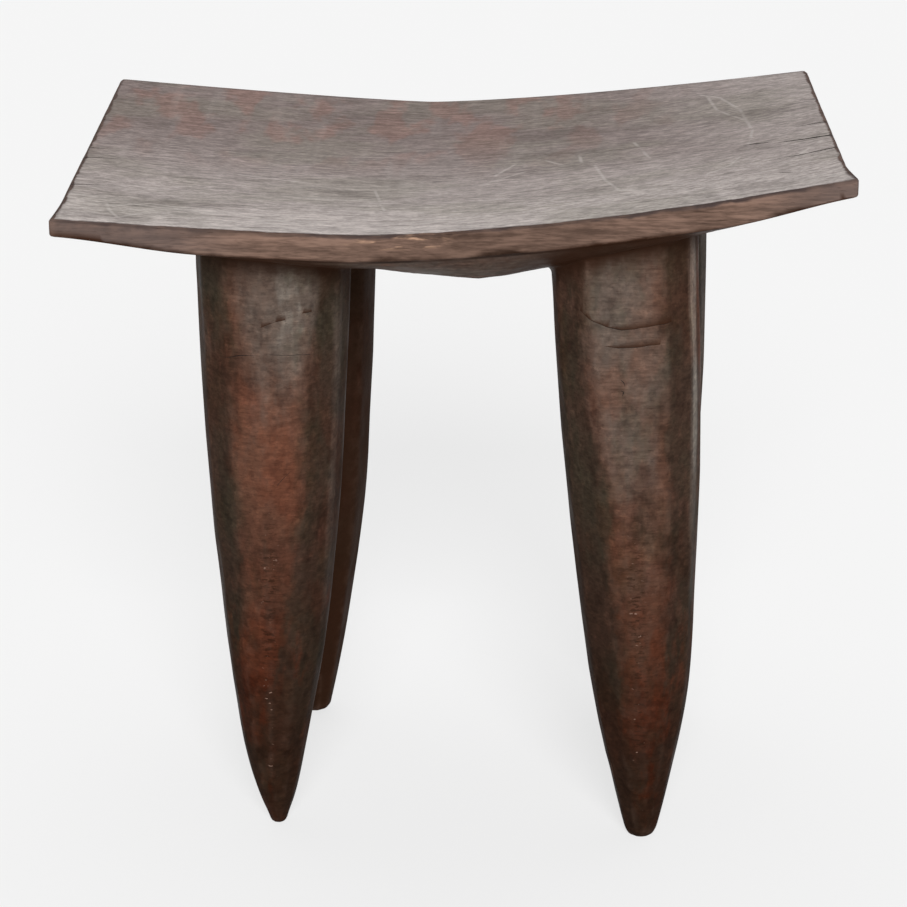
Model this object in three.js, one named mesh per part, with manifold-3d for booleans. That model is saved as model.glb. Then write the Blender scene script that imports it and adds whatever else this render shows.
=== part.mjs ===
// A side table carved from one block of wood: a thin, dished seat on four thick, tapering legs.
// Millimetres, +Z up, +X along the seat to its high end, +Y to the back, the floor at z = 0.
import * as THREE from "three";
import { mergeVertices } from "three/addons/utils/BufferGeometryUtils.js";
import Module from "manifold-3d";

// Seat plan, between its top edges: its front corners flare, and its right end narrows towards the back
const SEAT_LENGTH = 502.4;
const SEAT_DEPTH = 350;
const FLARE_REACH = 45;
const FLARE_POWER = 1.5;
const LEFT_END = { waist: 246.4, back: 251.4, flare: 2.4, rim: 11.2, rimReach: 98 };
const RIGHT_END = { waist: 247.2, back: 242.5, flare: 4.2, rim: 12.1, rimReach: 80 };
const NOSE = 2.1;

// Seat top: the height of its front and back edges over the floor, each a bend with a low point
const FRONT_EDGE = {
  low: { x: -61, z: 446.4 },
  left: { rise: 9, power: 1.3 },
  right: { rise: 39.1, power: 1.62 },
};
const BACK_EDGE = {
  low: { x: -27, z: 449.1 },
  left: { rise: 15.3, power: 1.24 },
  right: { rise: 25.9, power: 1.4 },
};
const HOLLOW_ACROSS = 2;
const HOLLOW_FADE_REACH = 120;
const LEVEL_SPOT = { x: -36, halfX: 30, halfY: 34, z: 446.4 };

// Seat thickness: a thin rim, thinner at the ends, and a belly underneath with a keel from front to back
const RIM_IN_MIDDLE = 17.4;
const BELLY_DEPTH = 29.4;
const BELLY_GAIN = 0.03;
const BELLY_RUN = 47;
const BELLY_TAPER_REACH = 165;
const KEEL = { x: 16, depth: 13.7, left: 65, right: 90 };

// Legs: a bulging taper with a knee, leaning a little, with flats left by the adze and a rounded foot. Each
// flat is its angle and half width in degrees.
const LEG_HEIGHT = 400;
const LEAN_POWER = 1.3;
const FOOT_BLEND = 4;
const KNEE_REACH = 60;
const FLARE_START = 385;
const FLARE_HEIGHT = 45;
const FLARE_OUT = 0.8;
const LEGS = [
  {
    foot: [-122.5, -90.7],
    head: [-118, -94],
    top: 432,
    radius: 50.95,
    bulge: 1.444,
    blunt: 0.49,
    tip: -4,
    footRadius: 7.4,
    footRound: { height: 8, width: 4 },
    knee: { z: 66, swell: -1.5, push: -2.3 },
    flats: [
      [-75, 19],
      [-108, 15],
      [-137, 14],
      [-165, 14],
      [-42, 14],
      [-15, 13],
      [20, 17],
      [60, 20],
      [105, 20],
      [148, 18],
    ],
  },
  {
    foot: [128.1, -100.2],
    head: [111.4, -105],
    top: 446,
    radius: 47.7,
    bulge: 1.968,
    blunt: 0.758,
    tip: 25,
    footRadius: 5.3,
    footRound: { height: 6.4, width: 2.5 },
    knee: { z: 109, swell: 2.4, push: 1 },
    flats: [
      [-93, 30],
      [-44, 14],
      [-15, 14],
      [-143, 17],
      [-170, 9],
      [22, 18],
      [62, 18],
      [103, 20],
      [147, 18],
    ],
  },
  {
    foot: [-114, 102.2],
    head: [-109.9, 93],
    top: 432,
    radius: 47.9,
    bulge: 1.864,
    blunt: 0.631,
    tip: 16.4,
    footRadius: 10.4,
    footRound: { height: 4.6, width: 4.2 },
    knee: { z: 172, swell: 0.7, push: 0.7 },
    flats: [
      [18, 16],
      [54, 17],
      [90, 18],
      [126, 16],
      [158, 14],
      [-164, 14],
      [-128, 19],
      [-88, 18],
      [-50, 18],
      [-17, 14],
    ],
  },
  {
    foot: [134, 101],
    head: [124.5, 95],
    top: 441,
    radius: 46.8,
    bulge: 1.92,
    blunt: 0.68,
    tip: 18,
    footRadius: 8,
    footRound: { height: 6, width: 3.6 },
    knee: { z: 120, swell: 1.2, push: 0.8 },
    flats: [
      [16, 14],
      [50, 18],
      [90, 19],
      [128, 17],
      [162, 15],
      [-160, 16],
      [-122, 20],
      [-80, 20],
      [-46, 13],
      [-16, 14],
    ],
  },
];

// Facet counts
const SEAT_LAYERS = 3;
const SEAT_COLUMNS = 30;
const SEAT_ROWS = 16;
const ROW_CROWDING = 0.08;
const LEG_SIDES = 24;
const LEG_RINGS = 22;
const RING_CROWDING = 1.9;
const WELD = 1e-3;
const HALF = 0.5;

const WOOD = { color: 0x4a352b, roughness: 0.55, metalness: 0 };

const wasm = await Module();
wasm.setup();

// 0 to 1 with a soft start and a soft end
function ease(t) {
  return THREE.MathUtils.smoothstep(t, 0, 1);
}

// Height of one long edge: two power curves that meet at its low point
function edgeHeight(edge, x) {
  const half = SEAT_LENGTH / 2;
  if (x < edge.low.x) {
    return edge.low.z + edge.left.rise * ((edge.low.x - x) / (half + edge.low.x)) ** edge.left.power;
  }
  return edge.low.z + edge.right.rise * ((x - edge.low.x) / (half - edge.low.x)) ** edge.right.power;
}

// Seat top: the front edge's curve turns into the back edge's, hollowed a little across
function topHeight(x, y) {
  if (Math.abs(x - LEVEL_SPOT.x) < LEVEL_SPOT.halfX && Math.abs(y) < LEVEL_SPOT.halfY) {
    return LEVEL_SPOT.z;
  }
  const across = y / SEAT_DEPTH + HALF;
  const height = THREE.MathUtils.lerp(edgeHeight(FRONT_EDGE, x), edgeHeight(BACK_EDGE, x), across);
  const fromEnd = SEAT_LENGTH / 2 - Math.abs(x);
  return height - HOLLOW_ACROSS * ease(fromEnd / HOLLOW_FADE_REACH) * (1 - (2 * across - 1) ** 2);
}

// Seat underside: the rim, the belly that deepens away from the long edges, and the keel
function undersideHeight(x, y) {
  const fromEnd = SEAT_LENGTH / 2 - Math.abs(x);
  const fromEdge = SEAT_DEPTH / 2 - Math.abs(y);
  const end = x < 0 ? LEFT_END : RIGHT_END;
  const rim = THREE.MathUtils.lerp(end.rim, RIM_IN_MIDDLE, ease(fromEnd / end.rimReach));
  const belly = (BELLY_DEPTH + BELLY_GAIN * x) * ease(fromEnd / BELLY_TAPER_REACH);
  const fromKeel = x < KEEL.x ? (KEEL.x - x) / KEEL.left : (x - KEEL.x) / KEEL.right;
  const keel = KEEL.depth * Math.max(0, 1 - fromKeel);
  const deepening = 1 - Math.exp(-fromEdge / BELLY_RUN);
  return topHeight(x, y) - rim - (belly + keel) * deepening;
}

// How far an end stands out from the middle, at a place across the seat
function endReach(end, y) {
  const fromFront = y + SEAT_DEPTH / 2;
  const taper = (end.back - end.waist) * (fromFront / SEAT_DEPTH);
  const flare = end.flare * Math.max(0, 1 - fromFront / FLARE_REACH) ** FLARE_POWER;
  return end.waist + taper + flare;
}

// Seat: a unit cube whose upper vertices move onto the top, the lower ones onto the underside, and the ones
// between out to the nose, with the rows closer together at the edges
function seatSolid() {
  const box = new THREE.BoxGeometry(1, 1, 1, SEAT_COLUMNS, SEAT_ROWS, SEAT_LAYERS);
  const position = box.getAttribute("position");
  for (let i = 0; i < position.count; i++) {
    const along = position.getX(i);
    const across = position.getY(i);
    const layer = position.getZ(i);
    const y = SEAT_DEPTH * (across + ROW_CROWDING * Math.sin(2 * Math.PI * across));
    const x = 2 * along * (along < 0 ? endReach(LEFT_END, y) : endReach(RIGHT_END, y));
    const z = THREE.MathUtils.lerp(undersideHeight(x, y), topHeight(x, y), layer + HALF);
    const nose = Math.abs(layer) < HALF ? NOSE : 0;
    const outX = Math.abs(along) === HALF ? nose * Math.sign(along) : 0;
    const outY = Math.abs(across) === HALF ? nose * Math.sign(across) : 0;
    position.setXYZ(i, x + outX, y + outY, z);
  }
  return solidOf(box);
}

// How much of a leg's knee there is at a height
function kneeShare(leg, z) {
  return Math.exp(-(((z - leg.knee.z) / KNEE_REACH) ** 2));
}

// Leg radius at a height: a bulging taper blended with the foot's radius, swollen at the knee, flared into
// the seat and rounded off below by a quarter of an ellipse
function legRadius(leg, z) {
  const rise = THREE.MathUtils.clamp((z + leg.tip) / LEG_HEIGHT, 0, 1);
  const taper = leg.radius * (1 - (1 - rise) ** leg.bulge) ** leg.blunt;
  const blended = (taper ** FOOT_BLEND + leg.footRadius ** FOOT_BLEND) ** (1 / FOOT_BLEND);
  const flare = FLARE_OUT * ease((z - FLARE_START) / FLARE_HEIGHT);
  const drop = Math.max(0, 1 - z / leg.footRound.height);
  const rounding = leg.footRound.width * (1 - Math.sqrt(1 - drop ** 2));
  return blended + leg.knee.swell * kneeShare(leg, z) + flare - rounding;
}

// Centre of a leg at a height: it leans from foot to head, and its knee is pushed along the seat
function legCentre(leg, z) {
  const lean = (z / LEG_HEIGHT) ** LEAN_POWER;
  return {
    x: THREE.MathUtils.lerp(leg.foot[0], leg.head[0], lean) + leg.knee.push * kneeShare(leg, z),
    y: THREE.MathUtils.lerp(leg.foot[1], leg.head[1], lean),
  };
}

// Share of the radius left at an angle, where each flat is a chord of the given half width in degrees
function flattened(leg, angle) {
  const shares = leg.flats.map(([at, half]) => {
    const turn = Math.cos(angle - THREE.MathUtils.degToRad(at));
    return turn > HALF ? Math.cos(THREE.MathUtils.degToRad(half)) / turn : 1;
  });
  return Math.min(1, ...shares);
}

// Leg: a lathed profile, rings close together at the foot, pressed to its flats and leaned
function legSolid(leg) {
  const profile = [new THREE.Vector2(0, 0)];
  for (let ring = 0; ring <= LEG_RINGS; ring++) {
    const z = leg.top * (ring / LEG_RINGS) ** RING_CROWDING;
    profile.push(new THREE.Vector2(legRadius(leg, z), z));
  }
  profile.push(new THREE.Vector2(0, leg.top));
  const lathe = new THREE.LatheGeometry(profile, LEG_SIDES).rotateX(Math.PI / 2);
  const position = lathe.getAttribute("position");
  for (let i = 0; i < position.count; i++) {
    const share = flattened(leg, Math.atan2(position.getY(i), position.getX(i)));
    const z = Math.max(0, position.getZ(i));
    const centre = legCentre(leg, z);
    position.setXYZ(i, centre.x + share * position.getX(i), centre.y + share * position.getY(i), z);
  }
  return solidOf(lathe);
}

// A closed geometry as a solid, once its shared vertices are merged
function solidOf(geometry) {
  geometry.deleteAttribute("normal");
  geometry.deleteAttribute("uv");
  const merged = mergeVertices(geometry, WELD);
  const mesh = new wasm.Mesh({
    numProp: 3,
    vertProperties: merged.getAttribute("position").array,
    triVerts: new Uint32Array(merged.index.array),
  });
  return new wasm.Manifold(mesh);
}

// A solid as a geometry
function geometryOf(solid) {
  const mesh = solid.getMesh();
  const geometry = new THREE.BufferGeometry();
  geometry.setAttribute("position", new THREE.BufferAttribute(mesh.vertProperties, 3));
  geometry.setIndex(new THREE.BufferAttribute(mesh.triVerts, 1));
  geometry.computeVertexNormals();
  return geometry;
}

// The block: seat and legs are one piece of wood
function sideTable() {
  const block = LEGS.map(legSolid).reduce((whole, leg) => whole.add(leg), seatSolid());
  const mesh = new THREE.Mesh(geometryOf(block), new THREE.MeshStandardMaterial(WOOD));
  mesh.name = "side_table";
  return mesh;
}

const object = new THREE.Group();
object.add(sideTable());

export default object;
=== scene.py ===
"""A side table carved from one block of wood: its fine surface, its finish and a studio stage around it.

The seat and the legs are one closed mesh. Each quarter of the seat's underside is a ring of faces around one
leg, and the same columns of faces run on down the leg to its foot, so there is no seam where the leg starts.
"""

import math

import bmesh
import bpy
import numpy as np
from mathutils import Matrix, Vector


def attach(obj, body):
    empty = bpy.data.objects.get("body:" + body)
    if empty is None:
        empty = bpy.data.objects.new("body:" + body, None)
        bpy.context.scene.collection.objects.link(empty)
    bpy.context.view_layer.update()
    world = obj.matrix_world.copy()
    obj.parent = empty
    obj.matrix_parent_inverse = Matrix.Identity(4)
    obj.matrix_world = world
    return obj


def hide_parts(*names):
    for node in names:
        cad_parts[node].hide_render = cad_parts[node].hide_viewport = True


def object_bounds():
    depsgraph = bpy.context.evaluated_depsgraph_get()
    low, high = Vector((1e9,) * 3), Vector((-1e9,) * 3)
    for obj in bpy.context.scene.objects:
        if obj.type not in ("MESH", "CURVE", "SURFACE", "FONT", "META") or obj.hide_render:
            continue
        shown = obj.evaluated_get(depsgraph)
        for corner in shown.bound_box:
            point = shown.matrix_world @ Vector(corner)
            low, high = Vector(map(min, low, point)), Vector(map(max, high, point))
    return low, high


bl_info = {
    "name": "Carved Side Table",
    "version": (1, 0, 0),
    "blender": (4, 5, 0),
    "location": "View3D > Sidebar > Side Table",
    "description": "Builds a side table carved from one block of wood, its worn finish and a plain studio",
    "category": "Add Mesh",
}

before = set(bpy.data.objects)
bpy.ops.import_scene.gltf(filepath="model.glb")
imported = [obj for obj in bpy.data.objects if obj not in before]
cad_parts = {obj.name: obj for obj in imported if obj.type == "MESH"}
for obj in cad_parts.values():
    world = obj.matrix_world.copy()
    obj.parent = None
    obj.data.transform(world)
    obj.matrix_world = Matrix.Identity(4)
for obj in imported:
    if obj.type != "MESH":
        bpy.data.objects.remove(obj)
CAD_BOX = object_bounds()
NODE = "side_table"

# Seat top: the front and back edges, each a bend with a low point, in metres
FRONT_EDGE = {"low_x": -0.061, "low_z": 0.4464, "left": (0.009, 1.3), "right": (0.0391, 1.62)}
BACK_EDGE = {"low_x": -0.027, "low_z": 0.4491, "left": (0.0153, 1.24), "right": (0.0259, 1.4)}
HOLLOW_FADE_REACH = 0.12

# Seat ends: how far each stands out at the waist and at the back, the flare of its front corner, its rim's
# thickness and how far in the rim reaches its full thickness
LEFT_END = {"waist": 0.2464, "back": 0.2514, "flare": 0.0024, "rim": 0.0112, "rim_reach": 0.098}
RIGHT_END = {"waist": 0.2472, "back": 0.2425, "flare": 0.0042, "rim": 0.0121, "rim_reach": 0.08}
FLARE_REACH = 0.045
FLARE_POWER = 1.5
CORNER_ROUND = 0.002

# Rim wear: what its whole upper corner has lost, the size, threshold and depth of chips, the size and depth
# of waves, how far round the corner the wear goes in radians, and the sizes and depths of its face's hollows
CORNER_LOSS = 0.0003
CORNER_CHIPS = {"size": 0.009, "from": 0.4, "depth": 0.0009}
CORNER_WAVES = {"size": 0.03, "depth": 0.0002}
CORNER_SPREAD = 0.32
FACE_HOLLOWS = ((0.05, 0.00015), (0.012, 0.0001))

# Seat underside: belly and keel
BELLY_GAIN = 0.03
BELLY_RUN = 0.047
BELLY_TAPER_REACH = 0.165
KEEL = {"x": 0.016, "left": 0.065, "right": 0.09}

# Legs: foot and head places, the taper, the knee's height, swelling and push along the seat, the height and
# width of the foot's rounding, and the seed of its marks. Each flat is its angle, half width, drift and the
# share of its width kept at the foot. Each rub is places as height, angle, half width and strength. The
# brown rubs are rubbed brown wood and, on the faces towards the front, painted light; the grey rubs are grey
# wood and painted sheen, with painted highlights where they are strongest.
LEG_HEIGHT = 0.4
LEAN_POWER = 1.3
KNEE_REACH = 0.06
HEAD_FLARE_START = 0.385
HEAD_FLARE_HEIGHT = 0.045
HEAD_FLARE = 0.0008
LEGS = [
    {
        "name": "front_left",
        "seed": 91,
        "foot": (-0.1225, -0.0907),
        "head": (-0.118, -0.094),
        "radius": 0.05095,
        "bulge": 1.444,
        "blunt": 0.49,
        "tip": -0.004,
        "foot_radius": 0.0074,
        "foot_round": (0.008, 0.004),
        "knee": (0.066, -0.0015, -0.0023),
        "flats": [
            (-75, 20, -10, 0.3), (-108, 16, 4, 0.7), (-137, 14, 3, 0.9), (-165, 14, 0, 0.9),
            (-42, 15, -4, 0.9), (-15, 13, 0, 0.8), (20, 17, 0, 0.8), (60, 20, 6, 0.8), (105, 20, -5, 0.8),
            (148, 18, 3, 0.8),
        ],
        "brown_rubs_and_painted_light": [
            [(0.0, -115, 18, 0.1), (0.05, -116, 26, 0.3), (0.095, -114, 26, 0.5), (0.14, -107, 24, 0.6),
             (0.175, -94, 23, 0.75), (0.28, -91, 26, 1.0), (0.4, -86, 30, 0.9)],
            [(0.0, 150, 20, 0.1), (0.1, 155, 22, 0.4), (0.4, 160, 24, 0.6)],
            [(0.0, 60, 20, 0.1), (0.2, 60, 30, 0.5), (0.4, 62, 28, 0.4)],
        ],
        "grey_rubs_and_painted_sheen": [
            [(0.1, -24, 7, 0.0), (0.2, -24, 7, 0.5), (0.37, -26, 8, 0.6), (0.4, -26, 8, 0.1)],
            [(0.1, -172, 8, 0.0), (0.25, -172, 8, 0.25), (0.37, -170, 9, 0.3), (0.4, -170, 9, 0.1)],
            [(0.28, -84, 20, 0.0), (0.33, -84, 28, 0.45), (0.36, -83, 30, 0.75), (0.41, -82, 32, 0.85)],
            [(0.3, -72, 8, 0.0), (0.345, -70, 14, 0.75), (0.36, -70, 17, 1.05), (0.41, -70, 19, 1.2)],
        ],
    },
    {
        "name": "front_right",
        "seed": 89,
        "foot": (0.1281, -0.1002),
        "head": (0.1114, -0.105),
        "radius": 0.0477,
        "bulge": 1.968,
        "blunt": 0.758,
        "tip": 0.025,
        "foot_radius": 0.0053,
        "foot_round": (0.0064, 0.0025),
        "knee": (0.109, 0.0024, 0.001),
        "flats": [
            (-88, 32, 22, 0.1), (-44, 15, 0, 0.9), (-15, 14, 0, 0.9), (-139, 18, 10, 0.9),
            (-168, 11, 0, 0.9), (22, 18, 0, 0.8), (62, 18, 4, 0.8), (103, 20, -4, 0.8), (147, 18, 0, 0.8),
        ],
        "brown_rubs_and_painted_light": [
            [(0.0, -90, 14, 0.05), (0.04, -90, 18, 0.25), (0.07, -90, 25, 0.4), (0.115, -90, 25, 0.45),
             (0.16, -86, 22, 0.6), (0.215, -90, 24, 0.6), (0.26, -88, 25, 0.75), (0.3, -90, 26, 0.8),
             (0.345, -91, 28, 0.85), (0.4, -90, 29, 0.9)],
            [(0.0, 10, 20, 0.1), (0.2, 12, 24, 0.45), (0.4, 14, 22, 0.5)],
            [(0.0, 110, 20, 0.1), (0.2, 108, 28, 0.5), (0.4, 104, 30, 0.5)],
        ],
        "grey_rubs_and_painted_sheen": [
            [(0.16, -26, 5, 0.0), (0.25, -24, 7, 0.9), (0.3, -22, 8, 1.4), (0.43, -22, 8, 1.5)],
            [(0.17, -90, 16, 0.0), (0.26, -88, 20, 0.5), (0.345, -91, 28, 0.85), (0.41, -90, 30, 1.0)],
        ],
    },
    {
        "name": "back_left",
        "seed": 87,
        "foot": (-0.114, 0.1022),
        "head": (-0.1099, 0.093),
        "radius": 0.0479,
        "bulge": 1.864,
        "blunt": 0.631,
        "tip": 0.0164,
        "foot_radius": 0.0104,
        "foot_round": (0.0046, 0.0042),
        "knee": (0.172, 0.0007, 0.0007),
        "flats": [
            (18, 16, 3, 0.8), (54, 17, 0, 0.8), (90, 18, -4, 0.7), (126, 16, 2, 0.8), (158, 14, 0, 0.9),
            (-164, 14, 0, 0.9), (-128, 19, 4, 0.8), (-88, 18, 0, 0.8), (-50, 18, -3, 0.8), (-17, 14, 0, 0.9),
        ],
        "brown_rubs_and_painted_light": [
            [(0.0, 88, 16, 0.1), (0.1, 90, 24, 0.5), (0.28, 92, 30, 0.9), (0.4, 90, 32, 0.9)],
            [(0.0, 175, 18, 0.1), (0.2, 176, 24, 0.5), (0.4, 178, 22, 0.6)],
        ],
        "grey_rubs_and_painted_sheen": [
            [(0.1, 142, 7, 0.0), (0.25, 142, 8, 0.45), (0.42, 140, 9, 0.6)],
            [(0.3, 96, 20, 0.0), (0.36, 94, 26, 0.5), (0.41, 92, 28, 0.6)],
        ],
    },
    {
        "name": "back_right",
        "seed": 87,
        "foot": (0.134, 0.101),
        "head": (0.1245, 0.095),
        "radius": 0.0468,
        "bulge": 1.92,
        "blunt": 0.68,
        "tip": 0.018,
        "foot_radius": 0.008,
        "foot_round": (0.006, 0.0036),
        "knee": (0.12, 0.0012, 0.0008),
        "flats": [
            (16, 14, 0, 0.9), (50, 18, 4, 0.8), (90, 19, -3, 0.7), (128, 17, 3, 0.8), (162, 15, 0, 0.9),
            (-160, 16, 0, 0.9), (-122, 20, 3, 0.8), (-80, 20, -4, 0.8), (-46, 13, 0, 0.9), (-16, 14, 0, 0.9),
        ],
        "brown_rubs_and_painted_light": [
            [(0.0, 92, 16, 0.1), (0.1, 90, 24, 0.5), (0.28, 88, 30, 0.9), (0.4, 90, 32, 0.9)],
            [(0.0, 22, 16, 0.1), (0.2, 24, 20, 0.4), (0.4, 24, 20, 0.5)],
        ],
        "grey_rubs_and_painted_sheen": [
            [(0.15, -8, 12, 0.0), (0.25, -8, 14, 0.6), (0.43, -8, 14, 0.8)],
            [(0.3, 88, 20, 0.0), (0.36, 88, 26, 0.5), (0.41, 90, 28, 0.6)],
        ],
    },
]

# How sharply the flats meet, and the cosine of the angle to a flat below which it is out of sight
FLAT_SHARPNESS = 95
FLAT_SIGHT = 0.4

# Strokes along each flat: their length, how far they turn it in degrees, and the share of it that they cut
STROKE_LENGTH = 0.05
STROKE_TURN = 1.5
STROKE_DEPTH = 0.006

# The edge of a rub: how ragged noise makes it, and where it starts to fade and over how far, in half widths
RUB_EDGE = {"ragged": 0.22, "start": 0.45, "fade": 1.1}

# A knot under the seat of the front right leg: a swelling that ends below in a curved ledge
KNOT_LEG = "front_right"
KNOT = {"angle": -86, "half_angle": 24, "height": 0.396, "half_height": 0.016, "swell": 0.0013}
LEDGE = {"angle": -90, "half_angle": 42, "height": 0.3775, "sag": 0.0095}
LEDGE_STEP = {"height": 0.0006, "fade": 0.011, "edge": 0.0012, "end": 1.3}

# Adze marks, each a shallow scallop: their length and width, their depth, and how far in from the border
# they reach it. Waves are slower, with a size and a depth. A mark's middle is shifted by up to a share of
# its size, and the mark ends where its squared distance comes to the reach.
TOP_MARKS = ((0.11, 0.03), 0.00025, 0.03)
TOP_WAVES = ((0.16, 0.05, 1), 0.0003)
BELLY_MARKS = ((0.034, 0.019), 0.0009, 0.02)
LEG_MARKS = ((0.019, 0.07), 0.0004, 0.06)
LEG_WAVES = ((0.03, 0.06, 1), 0.0003)
MARK_SHIFT = 0.35
MARK_REACH = 0.6

# Splits along the grain from the ends of the seat: inner and outer place, width and depth; one is open at
# its outer end where that lies past the end of the seat
SEAT_SPLITS = [
    ((0.2330, 0.0780), (0.2560, 0.0700), 0.0016, 0.004),
    ((0.2220, -0.0005), (0.2560, -0.0025), 0.0022, 0.005),
    ((0.1880, -0.0300), (0.2080, -0.0335), 0.0020, 0.004),
    ((0.2070, -0.0385), (0.2560, -0.0450), 0.0030, 0.007),
    ((0.2020, -0.0850), (0.2560, -0.0800), 0.0022, 0.006),
    ((0.2065, -0.1225), (0.2160, -0.1270), 0.0014, 0.002),
    ((-0.2410, 0.0620), (-0.2560, 0.0625), 0.0014, 0.004),
    ((-0.2350, -0.0080), (-0.2560, -0.0075), 0.0014, 0.004),
    ((-0.2250, -0.0280), (-0.2560, -0.0350), 0.0017, 0.005),
    ((-0.2200, -0.0900), (-0.2560, -0.0980), 0.0014, 0.004),
]

# Hairline splits and nicks in the legs: the leg, places as angle and height, width and depth
LEG_SPLITS = [
    (0, [(-127, 0.3518), (-111, 0.3550), (-98, 0.3566)], 0.0004, 0.0010),
    (0, [(-95, 0.3572), (-80, 0.3562), (-66, 0.3558), (-50, 0.3545)], 0.0003, 0.0006),
    (0, [(-95, 0.3752), (-85, 0.3786), (-76, 0.3796)], 0.0002, 0.0004),
    (0, [(-62, 0.3838), (-55, 0.3842)], 0.0002, 0.0004),
    (0, [(-84, 0.2640), (-78, 0.2695), (-71, 0.2750)], 0.0003, 0.0005),
    (1, [(-130, 0.3880), (-119, 0.3838), (-108, 0.3792), (-96, 0.3775), (-84, 0.3779), (-70, 0.3800),
         (-52, 0.3820)], 0.0004, 0.0010),
    (1, [(-109, 0.3662), (-98, 0.3650), (-83, 0.3654), (-63, 0.3676)], 0.0003, 0.0007),
    (1, [(-98, 0.3440), (-95, 0.3425), (-94, 0.3400)], 0.0004, 0.0006),
    (1, [(-98, 0.3370), (-95, 0.3352), (-97, 0.3325)], 0.0004, 0.0006),
    (2, [(70, 0.3500), (92, 0.3525), (118, 0.3490)], 0.0007, 0.002),
    (2, [(96, 0.2280), (112, 0.2300)], 0.0006, 0.0015),
    (3, [(60, 0.3120), (84, 0.3100), (110, 0.3135)], 0.0007, 0.002),
]

# How a split runs: the step along it, the size and reach of its wander, the size and share of its
# unevenness, and the power of its swelling with the least share of its width. Then where an open end starts,
# how far the cutters stand out of the wood, and the legs' middle radius, which turns angles into lengths.
SEAT_SPLIT_RUN = {"step": 0.003, "wander": (0.007, 0.0007), "uneven": (0.004, 0.3), "swell": (0.8, 0.06)}
LEG_SPLIT_RUN = {"step": 0.0025, "wander": (0.006, 0.0005), "uneven": (0.005, 0.35), "swell": (0.6, 0.08)}
OPEN_END = 0.25
CUTTER_LIFT = 0.0008
LEG_MIDDLE_RADIUS = 0.045

# Pale scratches on the top, as places along each
SCRATCHES = [
    [(-0.220, -0.136), (-0.193, -0.124), (-0.164, -0.128), (-0.134, -0.140), (-0.100, -0.162),
     (-0.074, -0.173)],
    [(-0.206, -0.128), (-0.150, -0.136), (-0.104, -0.148)],
    [(-0.222, -0.125), (-0.216, -0.146), (-0.209, -0.160), (-0.194, -0.145)],
    [(0.166, 0.137), (0.180, 0.120), (0.192, 0.075), (0.197, 0.009), (0.191, -0.046), (0.178, -0.080),
     (0.152, -0.104)],
    [(0.152, -0.104), (0.132, -0.115), (0.107, -0.107), (0.098, -0.075), (0.091, -0.031)],
    [(0.171, 0.130), (0.176, 0.085), (0.193, 0.045)],
    [(0.025, -0.035), (0.038, -0.009)],
    [(0.058, -0.005), (0.071, -0.023)],
    [(0.081, 0.000), (0.083, -0.028)],
    [(-0.025, -0.152), (0.006, -0.141)],
    [(-0.053, -0.063), (-0.044, -0.113)],
    [(0.222, -0.082), (0.239, -0.054)],
    [(0.010, -0.062), (0.045, -0.030)],
    [(-0.145, -0.040), (-0.090, -0.052)],
    [(-0.036, -0.158), (0.030, -0.162)],
    [(0.118, 0.020), (0.128, -0.030)],
]
SCRATCH_WIDTH = 0.0018

# Masks: how far below the seat the underside still counts as such, how brown and grey it is and where it
# ends, how far from a leg's centre line its masks go and how far they overlap the underside, the share of
# the rim that belongs to the top's corner, the strength of bends, and the edge mask's reach in millimetres
UNDER_BAND = 0.004
UNDER_BROWN = 0.85
UNDER_GREY = 0.75
UNDER_BORDER = (0.245, 0.17)
LEG_ZONE = 0.07
LEG_OVERLAP = 0.001
CORNER_SHARE = 0.6
BEND_GAIN = 6
EDGE_REACH = 40

# The column of ray flecks on each leg: its angle, half width, fade and wander in degrees, the size of the
# wander, and the heights between which it lies
FLECKS = {"angle": 91, "half": 4, "fade": 7, "wander": 3, "wander_size": 0.04}
FLECK_HEIGHTS = {"foot_fade": 0.05, "top": 0.27, "top_fade": 0.08}

# Shade: on what faces down, more so near a leg, on the inner sides of the legs, and in a band round the
# legs under the seat. "turn" is how far a face has to point that way and "soft" how softly the shade starts.
DOWN_SHADE = {"turn": 0.05, "soft": 0.4, "above": 0.36, "least": 0.05}
NEAR_LEG_SHADE = {"strength": 0.85, "reach": 0.055, "fade": 0.035}
INNER_SHADE = {"turn": 0.55, "soft": 0.35, "strength": 0.7}
BAND_SHADE = {"turn": -0.6, "above": 0.3, "strength": 0.9}
BAND_PROFILE = {"overlap": 0.002, "gap": 0.001, "height": 0.024, "power": 1.6}

# Stains of the legs, from large to small: their scale, shift and threshold in the noise, and their tint
LEG_MOTTLES = [
    ((20, 20, 11), 51.0, 0.48, 0.62, (1.1, 0.93, 0.87)),
    ((38, 38, 20), 44.0, 0.5, 0.64, (0.86, 0.93, 0.9)),
    ((70, 70, 40), 33.0, 0.5, 0.68, (0.74, 0.72, 0.72)),
    ((90, 90, 50), 61.0, 0.54, 0.68, (1.24, 1.24, 1.23)),
    ((170, 170, 230), 71.0, 0.46, 0.64, (0.78, 0.78, 0.79)),
    ((200, 200, 260), 82.0, 0.5, 0.66, (1.24, 1.22, 1.2)),
]

# Tint of the lower legs' rubbed middle, and how far the grain wanders
LOW_RED_TINT = (1.2, 0.8, 0.64)
GRAIN_WANDER = 0.005

# Studio: suns as azimuth from the front, elevation, angular size in degrees, and strength; the world's light
# and its level in the camera's eye; half the floor's side, its grey and its own glow
SUNS = [("key", 6, 30, 25, 3.4), ("overhead", 180, 72, 60, 1.1)]
WORLD_LIGHT = 0.2
WORLD_SEEN = 0.915
FLOOR_HALF = 9
FLOOR_GREY = 0.22
FLOOR_GLOW = 0.68

# Camera: place, azimuth, pitch and roll in degrees, and the picture's focal length and side in pixels
CAMERA_PLACE = (0.079, -2.0664, 0.9806)
CAMERA_TURN = (2.312, 19.699, -0.149)
FOCAL_PIXELS = 3152
PICTURE_PIXELS = 907
SENSOR_WIDTH = 36

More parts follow.
